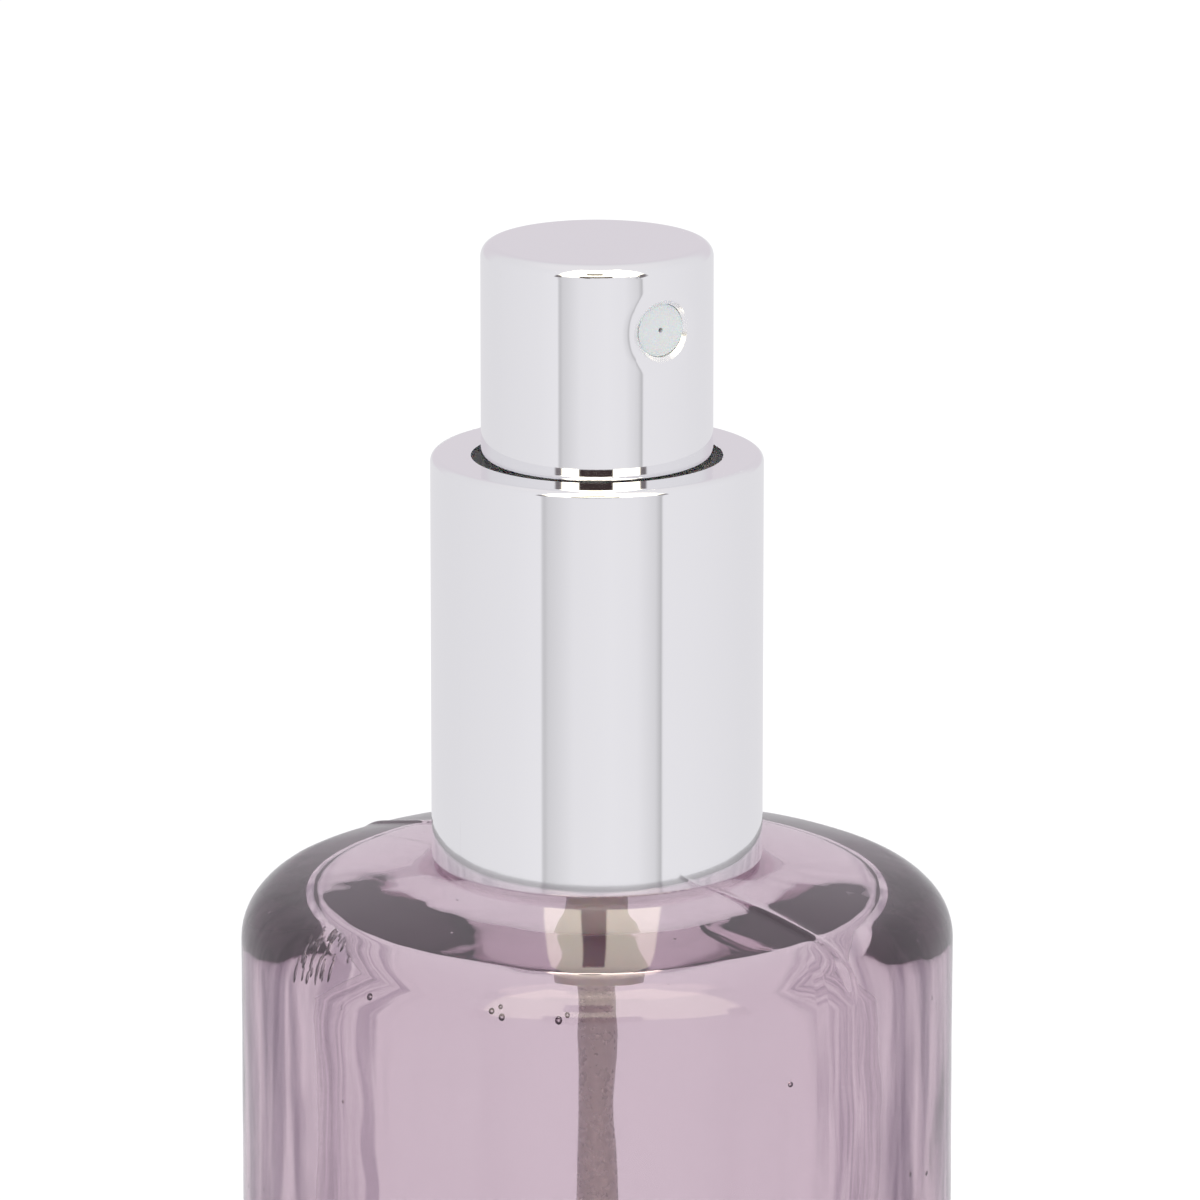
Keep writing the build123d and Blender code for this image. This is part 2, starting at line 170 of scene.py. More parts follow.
# %% The camera
VIEW_DISTANCE, VIEW_HEIGHT, AXIS_OFFSET = 641 * MM, 141 * MM, 0.18 * MM
VIEW_PITCH = math.radians(14.28)
LENS, SENSOR = 328.5, 36.0

camera_data = bpy.data.cameras.new("camera")
camera_data.lens, camera_data.sensor_width = LENS, SENSOR
camera_data.clip_end = 20.0
camera = bpy.data.objects.new("camera", camera_data)
scene.collection.objects.link(camera)
camera.location = (AXIS_OFFSET, -VIEW_DISTANCE, button_high.z + VIEW_HEIGHT)
camera.rotation_euler = (math.radians(90) - VIEW_PITCH, 0, 0)
scene.camera = camera
scene.view_settings.view_transform = "Standard"
print("the camera stands", round(camera.location.z / MM), "mm above the table")

# %% The table
TABLE_SIZE, TABLE_SHADE = 6.0, 0.93
bpy.ops.object.select_all(action="DESELECT")
bpy.ops.mesh.primitive_plane_add(size=TABLE_SIZE, location=(0, 0, 0))
table = bpy.context.object
table.name = "table_top"
table.visible_glossy = False  # the tent goes on below the horizon for what is mirrored
paint = bpy.data.materials.new("table_white")
tree = Tree(paint)
shade = tree.noise(3.0, 1.0) * 0.01 + TABLE_SHADE
color = tree.add("ShaderNodeCombineColor", {}, shade, shade, shade)
surface = tree.add("ShaderNodeBsdfDiffuse", {}, color)
tree.add("ShaderNodeOutputMaterial", {}, surface)
table.data.materials.append(paint)
print("table:", TABLE_SIZE, "m wide")

# %% The white tent round it
world = bpy.data.worlds.new("tent")
scene.world = world
world.cycles.sampling_method = "NONE"  # else matt surfaces are lit by the window, and not by FOR_MATT
tree = Tree(world)
sky_x, sky_y, sky_z = tree.split(tree.add("ShaderNodeTexCoord", out="Generated"))
azimuth = sky_x.math("ARCTAN2", sky_y * -1.0) * (180 / math.pi)
elevation = sky_z.math("ARCSINE") * (180 / math.pi)


def fade(value, low, high):
    """0 below low, 1 above high, and smooth between them. It falls instead where low is above high."""
    start, end, ends = (low, high, (0.0, 1.0)) if low < high else (high, low, (1.0, 0.0))
    smooth = {"interpolation_type": "SMOOTHSTEP"}
    return value.tree.add("ShaderNodeMapRange", smooth, value, start, end, *ends)


def patch(left, right, bottom, top, soft):
    """1 inside an area of the tent, given by its azimuths and its elevations in degrees."""
    wide = fade(azimuth, left - soft, left + soft) * fade(azimuth, right + soft, right - soft)
    return wide * fade(elevation, bottom - soft, bottom + soft) * fade(elevation, top + soft, top - soft)


# %% Round the horizon, starting and ending behind the bottle: backdrop, left board, front, right board
ROUND = ((-180, 0.78), (-120, 0.79), (-60, 0.83), (-39, 0.86), (-37.5, 0.55), (-34, 0.68), (-16, 0.83),
         (10, 0.86), (28, 0.84), (41, 0.72), (45, 0.52), (46.5, 0.85), (70, 0.84), (120, 0.80), (180, 0.78))
BOARD_TONE = (1.0, 0.99, 1.02)
stops = [((degrees + 180) / 360, [level * part for part in BOARD_TONE]) for degrees, level in ROUND]
light = tree.add("ShaderNodeValToRGB", {"stops": stops}, (azimuth + 180.0) / 360.0)
print("shades round the horizon:", len(stops))

# %% The backdrop, the ceiling, the window and what is dark before it
BACKDROP = rgb(0.735, 0.695, 0.74)
CEILING = rgb(0.86, 0.84, 0.86)
WINDOW = rgb(3.4, 3.2, 2.6)
DARK = rgb(0.05, 0.035, 0.035)
EDGE_DARK = rgb(0.2, 0.18, 0.19)
FOR_MATT = rgb(0.85, 0.85, 0.86)
WHITE = rgb(1.0, 1.0, 1.0)
window = patch(-39.0, 48.0, 13.0, 74.0, 1.5)
camera_and_hood = patch(-12.0, 7.0, 30.0, 44.0, 1.0)
tripod = patch(-18.0, 16.0, 9.0, 20.0, 1.0)
board_edges = patch(-42.0, -35.0, 6.0, 22.0, 1.5) + patch(43.0, 50.0, 6.0, 22.0, 1.5)
tripod_foot = patch(-12.5, -6.5, 6.0, 9.5, 0.7)
light = tree.mix(fade(sky_y, 0.55, 0.9) * fade(elevation, -4.0, 6.0), light, BACKDROP)
light = tree.mix(fade(elevation, 40.0, 75.0), light, CEILING)
for area, color in ((window, WINDOW), (camera_and_hood, DARK), (tripod, DARK), (board_edges, EDGE_DARK),
                    (tripod_foot, DARK)):
    light = tree.mix(area, light, color)
light = tree.mix(tree.add("ShaderNodeLightPath", out="Is Diffuse Ray"), light, FOR_MATT)
light = tree.mix(tree.add("ShaderNodeLightPath", out="Is Camera Ray"), light, WHITE)
tree.add("ShaderNodeOutputWorld", {}, tree.add("ShaderNodeBackground", {}, light))
print("tent:", len(tree.nodes), "nodes")

# %% A soft lamp overhead, for the table alone
LAMP_SIZE, LAMP_POWER = 2.4, 17.0

lamp_data = bpy.data.lights.new("overhead", "AREA")
lamp_data.shape, lamp_data.size, lamp_data.energy = "DISK", LAMP_SIZE, LAMP_POWER
lamp = bpy.data.objects.new("overhead", lamp_data)
lamp.location = (0, 0.3, 2.2)
lamp.visible_glossy = lamp.visible_transmission = lamp.visible_camera = False
scene.collection.objects.link(lamp)
lit = bpy.data.collections.new("lit_by_the_lamp")
lit.objects.link(table)
lamp.light_linking.receiver_collection = lit

# %% [markdown]
# ## The glass body
# The real body is blown into a round mould. Its wall and shoulder are thick, its base thicker, the shoulder
# is a shallow dome, and the neck's bore flares wide into the flat roof of the hollow. A profile could be
# spun, but the mould's parting line needs extra columns at two places round the axis. So a filled circle
# gets those columns first, and is then extruded ring by ring: from the middle of the base outward, up the
# wall, over the shoulder, up the neck and down again inside. That way the skin is closed from the start.

# %% Helpers for working in edit mode
def pick(piece, kind, test):
    """Selects the vertices, edges or faces that pass the test, and nothing else. Returns how many."""
    bpy.ops.mesh.select_mode(type={"verts": "VERT", "edges": "EDGE", "faces": "FACE"}[kind])
    bpy.ops.mesh.select_all(action="DESELECT")
    mesh = bmesh.from_edit_mesh(piece.data)
    found = 0
    for part in getattr(mesh, kind):
        part.select = test(part)
        found += part.select
    mesh.select_flush_mode()
    bmesh.update_edit_mesh(piece.data)
    return found


def start_disc(name, columns, radius):
    """A filled circle in edit mode, all selected."""
    bpy.ops.object.select_all(action="DESELECT")
    bpy.ops.mesh.primitive_circle_add(vertices=columns, radius=radius, fill_type="NGON")
    bpy.ops.object.transform_apply(location=True, rotation=True, scale=True)
    piece = bpy.context.object
    piece.name = piece.data.name = name
    bpy.ops.object.mode_set(mode="EDIT")
    bpy.ops.mesh.select_all(action="SELECT")
    return piece


def climb(radius, height, rings):
    """Extrudes the selected cap, of that radius and height, through rings of (radius, height)."""
    for next_radius, next_height in rings:
        bpy.ops.mesh.extrude_region_move(TRANSFORM_OT_translate={"value": (0, 0, next_height - height)})
        bpy.ops.transform.resize(value=(next_radius / radius, next_radius / radius, 1))
        radius, height = next_radius, next_height


def arc(center_radius, center_height, size, first, last, steps):
    """Rings along an arc. Angles are in degrees: 0 points outward and 90 up."""
    angles = [math.radians(first + (last - first) * k / steps) for k in range(steps + 1)]
    return [(center_radius + size * math.cos(a), center_height + size * math.sin(a)) for a in angles]


def straight(start, end, steps):
    """Rings along a straight line, without its first point."""
    return [tuple(a + (b - a) * k / steps for a, b in zip(start, end)) for k in range(1, steps + 1)]


def apply_modifier(piece, kind, **settings):
    """Adds a modifier, sets it and applies it."""
    bpy.ops.object.select_all(action="DESELECT")
    piece.select_set(True)
    bpy.context.view_layer.objects.active = piece
    modifier = piece.modifiers.new(kind.lower(), kind)
    for name, value in settings.items():
        setattr(modifier, name, value)
    bpy.ops.object.modifier_apply(modifier=modifier.name)


# %% The profile's sizes, in metres
SKIN_MARGIN = 0.1 * MM
BODY = glass_high.x - SKIN_MARGIN
SHOULDER = 61.8 * MM
DOME = 90.0 * MM
EDGE = 3.5 * MM
BASE_EDGE = 2.5 * MM
PUSH_UP, PUSH_UP_RADIUS = 0.6 * MM, 13.0 * MM
NECK, NECK_FOOT, LIP = 7.8 * MM, 0.6 * MM, 0.4 * MM
BORE, MOUTH = 4.95 * MM, 7.0 * MM
HOLLOW, ROOF, ROOF_EDGE = 17.3 * MM, 57.4 * MM, 1.0 * MM
FLOOR, FLOOR_EDGE = 7.0 * MM, 4.0 * MM
neck_top = glass_high.z

# the shoulder's edge is an arc that touches both the dome and the wall
dome_center = SHOULDER - DOME
edge_radius = BODY - EDGE
edge_height = dome_center + math.sqrt((DOME - EDGE) ** 2 - edge_radius**2)
edge_angle = math.degrees(math.atan2(edge_height - dome_center, edge_radius))
foot_radius = NECK + NECK_FOOT
dome_foot = dome_center + math.sqrt(DOME**2 - foot_radius**2)

# the bore flares wide into the hollow's roof, which turns sharply down into the wall
mouth_arc = arc(BORE + MOUTH, ROOF + MOUTH, MOUTH, 180, 270, 16)
corner_arc = arc(HOLLOW - ROOF_EDGE, ROOF - ROOF_EDGE, ROOF_EDGE, 90, 0, 8)
dome_rings = arc(0.0, dome_center, DOME, edge_angle, 90, 12)[1:-1]
print("the shoulder's edge starts", round(edge_height / MM, 2), "mm up")

# %% Outside rings, then inside rings
outside = [
    (5 * MM, PUSH_UP), (9 * MM, PUSH_UP), (PUSH_UP_RADIUS - 1.2 * MM, PUSH_UP),
    (PUSH_UP_RADIUS - 0.4 * MM, PUSH_UP * 0.85), (PUSH_UP_RADIUS, PUSH_UP * 0.5),
    (PUSH_UP_RADIUS + 0.4 * MM, PUSH_UP * 0.15), (PUSH_UP_RADIUS + 1.2 * MM, 0.0), (17 * MM, 0.0),
    *arc(BODY - BASE_EDGE, BASE_EDGE, BASE_EDGE, -90, 0, 8),
    *straight((BODY, BASE_EDGE), (BODY, edge_height), 44),
    *arc(edge_radius, edge_height, EDGE, 0, edge_angle, 12)[1:],
    *[ring for ring in dome_rings if ring[0] > foot_radius + 0.8 * MM],
    (foot_radius, dome_foot),
    *arc(foot_radius, dome_foot + NECK_FOOT, NECK_FOOT, 270, 180, 5)[1:],
    *straight((NECK, dome_foot + NECK_FOOT), (NECK, neck_top - LIP), 10),
    *arc(NECK - LIP, neck_top - LIP, LIP, 0, 90, 4)[1:],
]
inside = [
    *arc(BORE + LIP, neck_top - LIP, LIP, 90, 180, 4),
    *straight((BORE, neck_top - LIP), (BORE, ROOF + MOUTH), 10),
    *mouth_arc[1:],
    *straight(mouth_arc[-1], corner_arc[0], 7),
    *corner_arc[1:],
    *straight((HOLLOW, ROOF - ROOF_EDGE), (HOLLOW, FLOOR + FLOOR_EDGE), 36),
    *arc(HOLLOW - FLOOR_EDGE, FLOOR + FLOOR_EDGE, FLOOR_EDGE, 0, -90, 8)[1:],
    (4 * MM, FLOOR), (1.5 * MM, FLOOR),
]
print("rings:", len(outside), "outside and", len(inside), "inside")

# %% The parting line's columns, and all the rings
COLUMNS = 240
SEAM_WIDTH, SEAM_STEPS = 0.6 * MM, 6
START = 1.5 * MM

body = start_disc("glass_body", COLUMNS, BODY)
bpy.ops.mesh.flip_normals()
print("seam corners:", pick(body, "verts", lambda v: abs(v.co.x + v.co.y) < 0.1 * MM))
bpy.ops.mesh.bevel(affect="VERTICES", offset=SEAM_WIDTH, segments=SEAM_STEPS, clamp_overlap=False)
bpy.ops.mesh.select_mode(type="FACE")
bpy.ops.mesh.select_all(action="SELECT")
bpy.ops.transform.resize(value=(START / BODY, START / BODY, 1))
bpy.ops.transform.translate(value=(0, 0, PUSH_UP))
climb(START, PUSH_UP, outside + inside)
bpy.ops.mesh.select_all(action="SELECT")
bpy.ops.mesh.normals_make_consistent(inside=False)
bpy.ops.object.mode_set(mode="OBJECT")
print("glass skin:", len(body.data.polygons), "faces")

# %% [markdown]
# ## What the mould and the breath leave on the glass
# Blown glass is never quite true. Its skins wander by some hundredths of a millimetre, and more inside than
# outside, where only air shaped it. The mould's halves leave a fine raised line over the shoulder.
# Displace modifiers with soft noise give the wander, each through its own vertex group, so that neck and
# foot stay true, and the parting line is its fine column of points pushed outward.

# %% The parting line and the wavy skins
SEAM_HEIGHT, SEAM_REACH, SEAM_FADE = 0.13 * MM, 1.4 * SEAM_WIDTH, 3.0 * MM
OUTSIDE_WAVES = ((8.0 * MM, 0.09 * MM), (2.6 * MM, 0.03 * MM))
INSIDE_WAVES = ((9.0 * MM, 0.13 * MM), (2.5 * MM, 0.03 * MM))
OUTER_START, OUTER_FADE, FOOT_FADE = 8.6 * MM, 3.0 * MM, 6.0 * MM
INNER_START, INNER_FADE = 6.5 * MM, 2.0 * MM


def rise(value, length):
    """Climbs from 0 to 1 over that length, and stays there."""
    return min(max(value / length, 0.0), 1.0)


seam = body.vertex_groups.new(name="seam")
outer_skin = body.vertex_groups.new(name="outer_skin")
inner_skin = body.vertex_groups.new(name="inner_skin")
for vertex in body.data.vertices:
    co = vertex.co
    away = math.hypot(co.x, co.y)
    on_dome = co.z > dome_center + math.sqrt(DOME**2 - away**2) - 0.05 * MM
    is_outer = away > HOLLOW + 1 * MM or on_dome or co.z < 1 * MM
    ease = rise(away - OUTER_START, OUTER_FADE) * rise(co.z, FOOT_FADE)
    if is_outer and ease > 0:
        outer_skin.add([vertex.index], ease, "REPLACE")
        off_line = abs(co.x + co.y) / SEAM_REACH
        fading = rise(co.z - edge_height, SEAM_FADE) * ease
        if off_line < 1.0 and fading > 0:
            seam.add([vertex.index], fading * math.cos(off_line * math.pi / 2) ** 2, "REPLACE")
    elif not is_outer and away > INNER_START and co.z < SHOULDER:
        inner_skin.add([vertex.index], rise(away - INNER_START, INNER_FADE), "REPLACE")
apply_modifier(body, "DISPLACE", direction="NORMAL", strength=SEAM_HEIGHT, mid_level=0.0, vertex_group="seam")


def wander(piece, group, waves):
    """Moves a skin in and out by soft noise of each size."""
    for size, depth in waves:
        texture = bpy.data.textures.new("wander", "CLOUDS")
        texture.noise_scale, texture.noise_depth = size, 1
        apply_modifier(piece, "DISPLACE", direction="NORMAL", strength=depth, mid_level=0.5, texture=texture,
                       texture_coords="LOCAL", vertex_group=group)


wander(body, "outer_skin", OUTSIDE_WAVES)
wander(body, "inner_skin", INSIDE_WAVES)
bpy.ops.object.shade_smooth()
print("the skins wander by up to", round(OUTSIDE_WAVES[0][1] / 2 / MM, 3), "mm outside and",
      round(INSIDE_WAVES[0][1] / 2 / MM, 3), "mm inside")

# %% [markdown]
# ### Seed
# Small bubbles, called seed, stay in the wall. A bubble is a closed hollow in the glass, so its skin faces
# the other way, into the air inside it. One small sphere is modelled, flipped, and copied to each place;
# those drawn out by the blowing are longer. A few sit under the shoulder, a feather of long ones at its
# left edge, and the rest are strewn over the wall by a fixed random series.

# %% Where the bubbles are, in millimetres, how large and how drawn out
SEEDS = ((-13.2, -15.6, 57.0, 0.20, 1.0), (-6.1, -19.3, 57.2, 0.18, 1.0), (-5.6, -19.5, 57.5, 0.14, 1.0),
         (-5.5, -19.4, 56.9, 0.20, 1.0), (-2.2, -19.7, 56.8, 0.22, 1.0), (-1.7, -19.8, 57.1, 0.16, 1.0),
         (-8.6, -12.6, 59.6, 0.12, 1.0), (4.6, -14.0, 59.5, 0.10, 1.0))
STREWN, FEATHER = 46, 48
generator = random.Random(11)
places = [(x * MM, y * MM, z * MM, size * MM, tall) for x, y, z, size, tall in SEEDS]
for _ in range(STREWN):
    around, away = generator.uniform(0, 2 * math.pi), generator.uniform(18.1, 20.9) * MM
    places.append((away * math.cos(around), away * math.sin(around), generator.uniform(4, 54) * MM,
                   generator.uniform(0.06, 0.2) * MM, generator.choice((1.0, 1.0, 1.6))))
for _ in range(FEATHER):
    away = generator.uniform(18.0, 19.6) * MM
    around = math.radians(generator.uniform(208, 216))
    places.append((away * math.cos(around), away * math.sin(around), generator.uniform(56.4, 58.8) * MM,
                   generator.uniform(0.06, 0.14) * MM, generator.uniform(2.0, 4.5)))
print("bubbles:", len(places))

# %% One bubble, copied to each place and joined to the glass
bpy.ops.object.select_all(action="DESELECT")
bpy.ops.mesh.primitive_ico_sphere_add(subdivisions=2, radius=1.0)
bubble = bpy.context.object
bpy.ops.object.mode_set(mode="EDIT")
bpy.ops.mesh.select_all(action="SELECT")
bpy.ops.mesh.flip_normals()
bpy.ops.object.mode_set(mode="OBJECT")
bpy.ops.object.shade_smooth()
seeds = []
for x, y, z, size, tall in places:
    seed = bubble.copy()
    seed.data = bubble.data.copy()
    scene.collection.objects.link(seed)
    seed.location, seed.scale = (x, y, z), (size, size, size * tall)
    seeds.append(seed)
bpy.data.objects.remove(bubble)
bpy.ops.object.select_all(action="DESELECT")
for seed in seeds:
    seed.select_set(True)
bpy.context.view_layer.objects.active = seeds[0]
bpy.ops.object.transform_apply(location=True, rotation=True, scale=True)
body.select_set(True)
bpy.context.view_layer.objects.active = body
bpy.ops.object.join()
print("glass with its bubbles:", len(body.data.polygons), "faces")

# %% [markdown]
# ## The neck's thread
# The closure screws on a bead of glass that winds one and a half turns up the neck. It is low and broad,
# with a rounded crest, because it is blown with the bottle. A plane becomes its cross-section, and a Screw
# modifier winds that up the axis at the closure's pitch. It sinks a little into the neck to join it.

# %% The thread's bead
PITCH, TURNS = 3.175 * MM, 1.5
BEAD_START, BEAD_HEIGHT, BEAD_FOOT, BEAD_CREST = 66.5 * MM, 1.0 * MM, 2.0 * MM, 0.9 * MM
SUNK = 0.15 * MM

bpy.ops.object.select_all(action="DESELECT")
bpy.ops.mesh.primitive_plane_add(size=1, location=(0, 0, 0), rotation=(math.radians(90), 0, 0))
bpy.ops.object.transform_apply(location=True, rotation=True, scale=True)
bead = bpy.context.object
bead.name = "neck_thread"
bpy.ops.object.mode_set(mode="EDIT")
bpy.ops.mesh.select_all(action="SELECT")
bpy.ops.transform.resize(value=(BEAD_HEIGHT + SUNK, 1, BEAD_FOOT))
bpy.ops.transform.translate(value=(NECK + (BEAD_HEIGHT - SUNK) / 2, 0, BEAD_START))
pick(bead, "verts", lambda v: v.co.x > NECK + BEAD_HEIGHT / 2)
bpy.ops.transform.resize(value=(1, 1, BEAD_CREST / BEAD_FOOT))
bpy.ops.mesh.bevel(affect="VERTICES", offset=0.2 * MM, segments=3)
bpy.ops.object.mode_set(mode="OBJECT")
apply_modifier(bead, "SCREW", axis="Z", angle=math.radians(360 * TURNS), screw_offset=PITCH * TURNS,
               steps=144, render_steps=144, use_merge_vertices=False)
bpy.ops.object.mode_set(mode="EDIT")
bpy.ops.mesh.select_all(action="SELECT")
bpy.ops.mesh.remove_doubles(threshold=0.001 * MM)
open_edges = pick(bead, "edges", lambda e: e.is_boundary)
print("open edges of the thread, before its ends are filled:", open_edges)
if open_edges:
    bpy.ops.mesh.fill_holes(sides=0)
bpy.ops.mesh.select_all(action="SELECT")
bpy.ops.mesh.normals_make_consistent(inside=False)
bpy.ops.object.mode_set(mode="OBJECT")
bpy.ops.object.shade_smooth_by_angle(angle=math.radians(40))
print("thread:", len(bead.data.polygons), "faces")

# %% [markdown]
# ## Lilac glass
# The colour is in the glass, so the thick base is darker than the wall. That is absorption in the volume,
# not paint on the skin. The skin adds what is uneven: a faint cloud and a trace of haze, which lifts the
# darkest depths. It also carries painted shade: dark upright streaks, drawn like striae, painted into the
# glass's left and right sides, where refraction darkens the wall as the camera sees it.

# %% The glass
IOR_OF_GLASS, HAZE = 1.52, 0.06
ABSORBED, DENSITY = rgb(0.50, 0.24, 0.39), 76.0
# the last colour here, and the two widths on the next line, are painted shade: dark streaks painted into the
# glass's left and right sides
CLEAR, CLOUDED, SIDE_SHADE_TONE = rgb(0.99, 0.97, 0.985), rgb(0.965, 0.935, 0.955), rgb(0.34, 0.29, 0.36)
SIDE_SHADE_START, SIDE_SHADE_FULL = 15.8 * MM, 18.0 * MM

glass = bpy.data.materials.new("lilac_glass")
tree = Tree(glass)
tint = tree.mix(tree.noise(60.0, 2.0), CLEAR, CLOUDED)
place = tree.add("ShaderNodeTexCoord", out="Object")
drawn = tree.add("ShaderNodeMapping", {}, place, Scale=(1.0, 1.0, 0.12))
# painted shade: dark upright streaks that fade in toward the left and right edges, where refraction darkens
# the wall as the camera sees it
streaks = tree.add("ShaderNodeTexNoise", {}, out="Fac", Vector=drawn, Scale=420.0, Detail=3.0, Distortion=0.6)
side = tree.split(place)[0].math("ABSOLUTE")
painted_side_shade = fade(streaks, 0.38, 0.62) * fade(side, SIDE_SHADE_START, SIDE_SHADE_FULL)
surface = tree.add("ShaderNodeBsdfPrincipled", {}, tree.mix(painted_side_shade, tint, SIDE_SHADE_TONE), Transmission_Weight=1.0,
                   IOR=IOR_OF_GLASS, Roughness=0.0)
haze = tree.add("ShaderNodeBsdfTranslucent", {}, rgb(0.62, 0.52, 0.62))
surface = tree.add("ShaderNodeMixShader", {}, HAZE, surface, haze)
inside = tree.add("ShaderNodeVolumeAbsorption", {}, ABSORBED, Density=DENSITY)
tree.add("ShaderNodeOutputMaterial", {}, surface, inside)
print("glass:", len(tree.nodes), "nodes")

# %% The glass pieces belong to the bottle
for piece in (body, bead):
    piece.data.materials.append(glass)
    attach(piece, "bottle")
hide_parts("glass_bottle")
print("replaced the CAD's plain glass")

# %% [markdown]
# ## Bright metal
# The collar and the button's shell are thin aluminium, polished and anodised. A polished metal is a mirror
# whose colour is nearly white, so its look is what it mirrors. The finish stays a little uneven: faint
# long waves bend the reflections, and fine rubbing from use makes some patches duller. Punching the
# nozzle's hole also drew the metal in a little round it. That is too shallow to model, so a bump does it.

# %% The metal's finish
NOZZLE_TURN, NOZZLE_HEIGHT = math.radians(35.0), button_high.z - 4.2 * MM
DIMPLE_START, DIMPLE_END, DIMPLE_DEPTH = 1.5 * MM, 2.9 * MM, 0.1 * MM
RIM_START, RIM_END, RIM_DULLNESS = 1.85 * MM, 2.1 * MM, 0.22
WAVE_DEPTH = 0.2 * MM

metal = bpy.data.materials.new("bright_metal")
tree = Tree(metal)
rubbed = tree.noise(900.0, 3.0) * tree.noise(130.0, 1.0)
tone = tree.mix(tree.noise(45.0, 2.0), rgb(0.915, 0.913, 0.925), rgb(0.895, 0.893, 0.91))
place = tree.add("ShaderNodeTexCoord", out="Object")
x, y, z = tree.split(place)
beside = x * math.cos(NOZZLE_TURN) + y * math.sin(NOZZLE_TURN)
above = z - NOZZLE_HEIGHT
from_nozzle = (beside * beside + above * above) ** 0.5
in_front = (x * math.sin(NOZZLE_TURN) - y * math.cos(NOZZLE_TURN)) > 0.0
drawn_in = tree.add("ShaderNodeMapRange", {"interpolation_type": "SMOOTHERSTEP"}, from_nozzle,
                    DIMPLE_START, DIMPLE_END, 0.0, 1.0)
rim = fade(from_nozzle, RIM_END, RIM_START) * in_front
dimple = tree.add("ShaderNodeBump", {}, Strength=1.0, Distance=DIMPLE_DEPTH, Height=drawn_in * in_front)
bump = tree.add("ShaderNodeBump", {}, Strength=0.04, Distance=WAVE_DEPTH, Height=tree.noise(70.0, 1.0),
                Normal=dimple)
roughness = rubbed * 0.08 + 0.035 + rim * RIM_DULLNESS
surface = tree.add("ShaderNodeBsdfPrincipled", {}, tone, Metallic=1.0, Roughness=roughness, Normal=bump)
tree.add("ShaderNodeOutputMaterial", {}, surface)
print("bright metal:", len(tree.nodes), "nodes")


def finish(material, *names):
    """Gives CAD nodes their material."""
    for name in names:
        mesh = nodes[name].data
        mesh.materials.clear()
        mesh.materials.append(material)
    print(material.name, "on", ", ".join(names))


finish(metal, "collar_shell", "actuator_shell")

# %% [markdown]
# ## Moulded plastics, rubber and steel
# The working parts are small mouldings. Their plastic is matt and slightly cloudy, with a fine grain from
# the mould. One function makes them all: what differs is the colour, the gloss and how far light goes in.

# %% Plastics
def plastic(name, light_tone, dark_tone, roughness, glow=0.0, clear=0.0):
    """A moulded finish. Glow is how much light goes in, and clear is how much goes through."""
    material = bpy.data.materials.new(name)
    tree = Tree(material)
    grain = tree.noise(2200.0, 3.0)
    tone = tree.mix(tree.noise(260.0, 2.0), rgb(*light_tone), rgb(*dark_tone))
    bump = tree.add("ShaderNodeBump", {}, Strength=0.12, Distance=0.00003, Height=grain)
    surface = tree.add("ShaderNodeBsdfPrincipled", {}, tone, Roughness=grain * 0.12 + roughness, Normal=bump,
                       Subsurface_Weight=glow, Subsurface_Scale=0.001, Transmission_Weight=clear, IOR=1.49)
    tree.add("ShaderNodeOutputMaterial", {}, surface)
    return material


white_plastic = plastic("white_plastic", (0.86, 0.86, 0.87), (0.80, 0.80, 0.81), 0.30, glow=0.2)
natural_plastic = plastic("natural_plastic", (0.80, 0.78, 0.70), (0.72, 0.70, 0.62), 0.28, glow=0.4)
nozzle_plastic = plastic("nozzle_plastic", (0.80, 0.815, 0.82), (0.75, 0.77, 0.775), 0.22, glow=0.2)
tube_plastic = plastic("tube_plastic", (0.86, 0.80, 0.78), (0.80, 0.73, 0.71), 0.22, clear=0.5)
gasket_rubber = plastic("gasket", (0.50, 0.50, 0.50), (0.42, 0.42, 0.42), 0.45)
finish(white_plastic, "screw_closure", "collar_sleeve", "actuator_core", "pump_cap", "stem", "piston")
finish(natural_plastic, "pump_housing", "valve_pin", "ball_cage")
finish(nozzle_plastic, "nozzle_insert")
finish(tube_plastic, "dip_tube")
finish(gasket_rubber, "neck_gasket", "stem_seal")
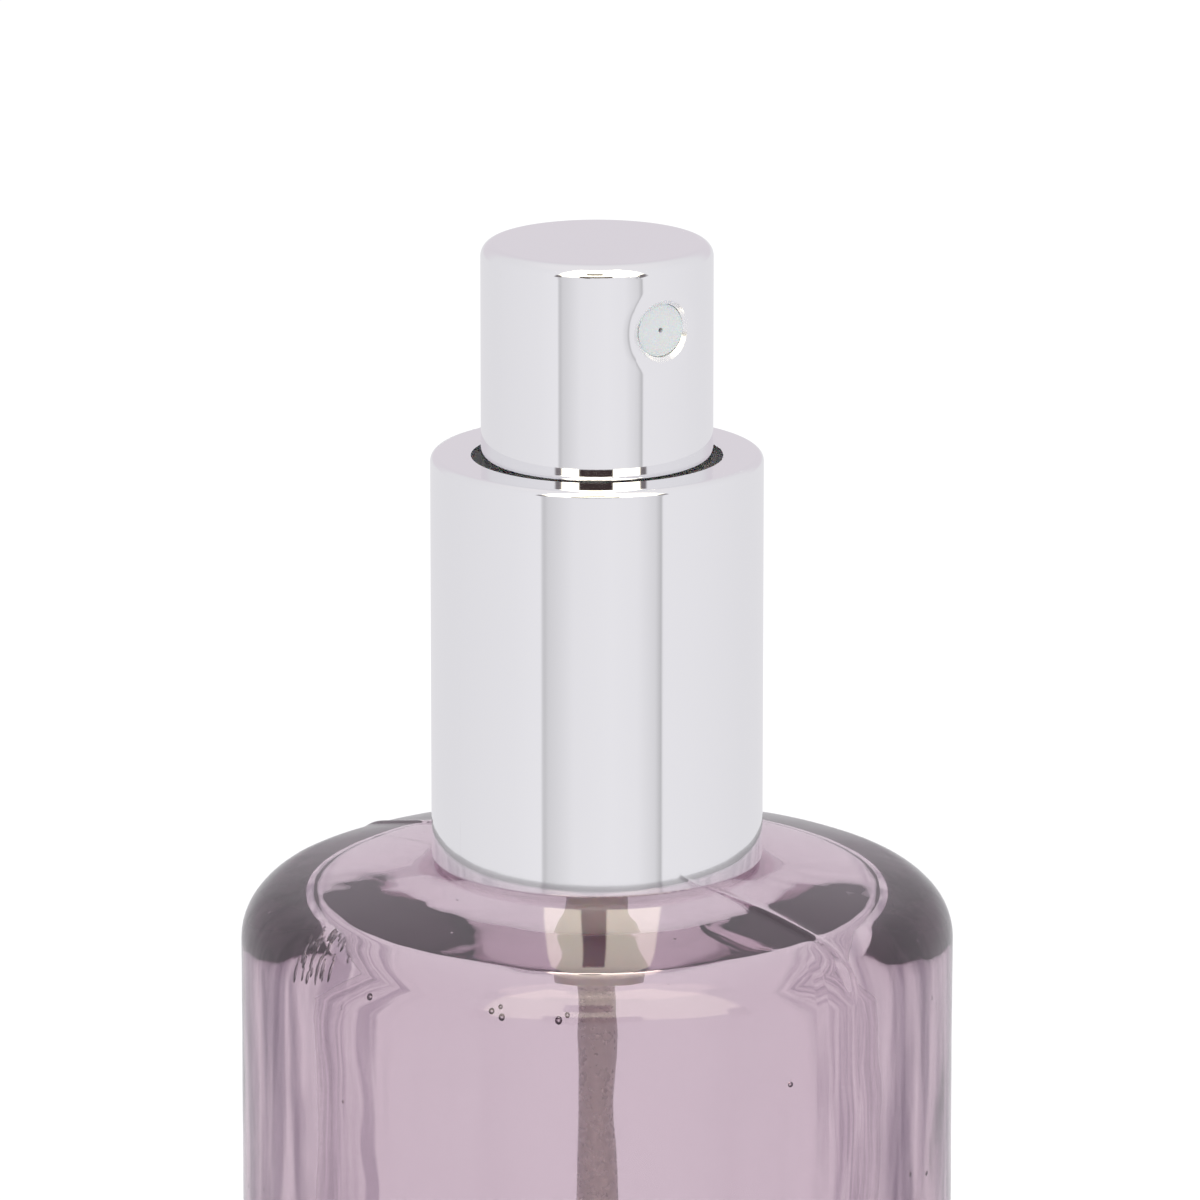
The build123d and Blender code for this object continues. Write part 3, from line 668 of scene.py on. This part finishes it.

# %% [markdown]
# ## The two springs
# Each spring is round wire wound at an even pitch. When the button goes down, the long one closes up
# against the housing's step, and the short one gives a little between the stem and the piston. A Screw
# modifier winds a circle of wire round the axis, and each coil is hung on the body of its joint.

# %% Winding a spring
def wind(name, radius, wire, low, high, turns):
    """A coil of round wire between two heights, its two ends filled."""
    bpy.ops.object.select_all(action="DESELECT")
    bpy.ops.mesh.primitive_circle_add(vertices=14, radius=wire, location=(radius, 0, low + wire),
                                      rotation=(math.radians(90), 0, 0))
    bpy.ops.object.transform_apply(location=True, rotation=True, scale=True)
    coil = bpy.context.object
    coil.name = coil.data.name = name
    steps, rise_of_wire = round(turns * 40), high - low - 2 * wire
    apply_modifier(coil, "SCREW", axis="Z", angle=math.radians(360 * turns), screw_offset=rise_of_wire,
                   steps=steps, render_steps=steps, use_merge_vertices=False)
    bpy.ops.object.mode_set(mode="EDIT")
    bpy.ops.mesh.select_all(action="SELECT")
    bpy.ops.mesh.fill_holes(sides=0)
    bpy.ops.mesh.select_all(action="SELECT")
    bpy.ops.mesh.normals_make_consistent(inside=False)
    bpy.ops.object.mode_set(mode="OBJECT")
    bpy.ops.object.shade_smooth_by_angle(angle=math.radians(40))
    print(name, len(coil.data.polygons), "faces")
    return coil


RETURN_LOW, RETURN_HIGH = 62.6 * MM, 71.6 * MM
PISTON_LOW, PISTON_HIGH = 75.6 * MM, 78.3 * MM
return_coil = wind("return_coil", radius=1.61 * MM, wire=0.22 * MM, low=RETURN_LOW, high=RETURN_HIGH, turns=6)
piston_coil = wind("piston_coil", radius=1.9 * MM, wire=0.15 * MM, low=PISTON_LOW, high=PISTON_HIGH, turns=4)

# %% [markdown]
# ### Spring wire and the check ball
# Both are bare steel, drawn or ground, so they are dull mirrors with fine streaks in their gloss. The coils
# then take the place of the CAD's plain springs, each hung on the body of its joint: the long one on the
# pump, the short one on the plunger.

# %% Steel
steel = bpy.data.materials.new("spring_steel")
tree = Tree(steel)
tone = tree.mix(tree.noise(700.0, 2.0), rgb(0.62, 0.60, 0.58), rgb(0.50, 0.49, 0.48))
surface = tree.add("ShaderNodeBsdfPrincipled", {}, tone, Metallic=1.0,
                   Roughness=tree.noise(1500.0, 2.0) * 0.1 + 0.2)
tree.add("ShaderNodeOutputMaterial", {}, surface)
finish(steel, "check_ball")

for coil, body_name, node in ((return_coil, "pump", "return_spring"),
                              (piston_coil, "plunger", "piston_spring")):
    coil.data.materials.append(steel)
    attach(coil, body_name)
    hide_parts(node)
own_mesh(return_coil)
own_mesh(piston_coil)
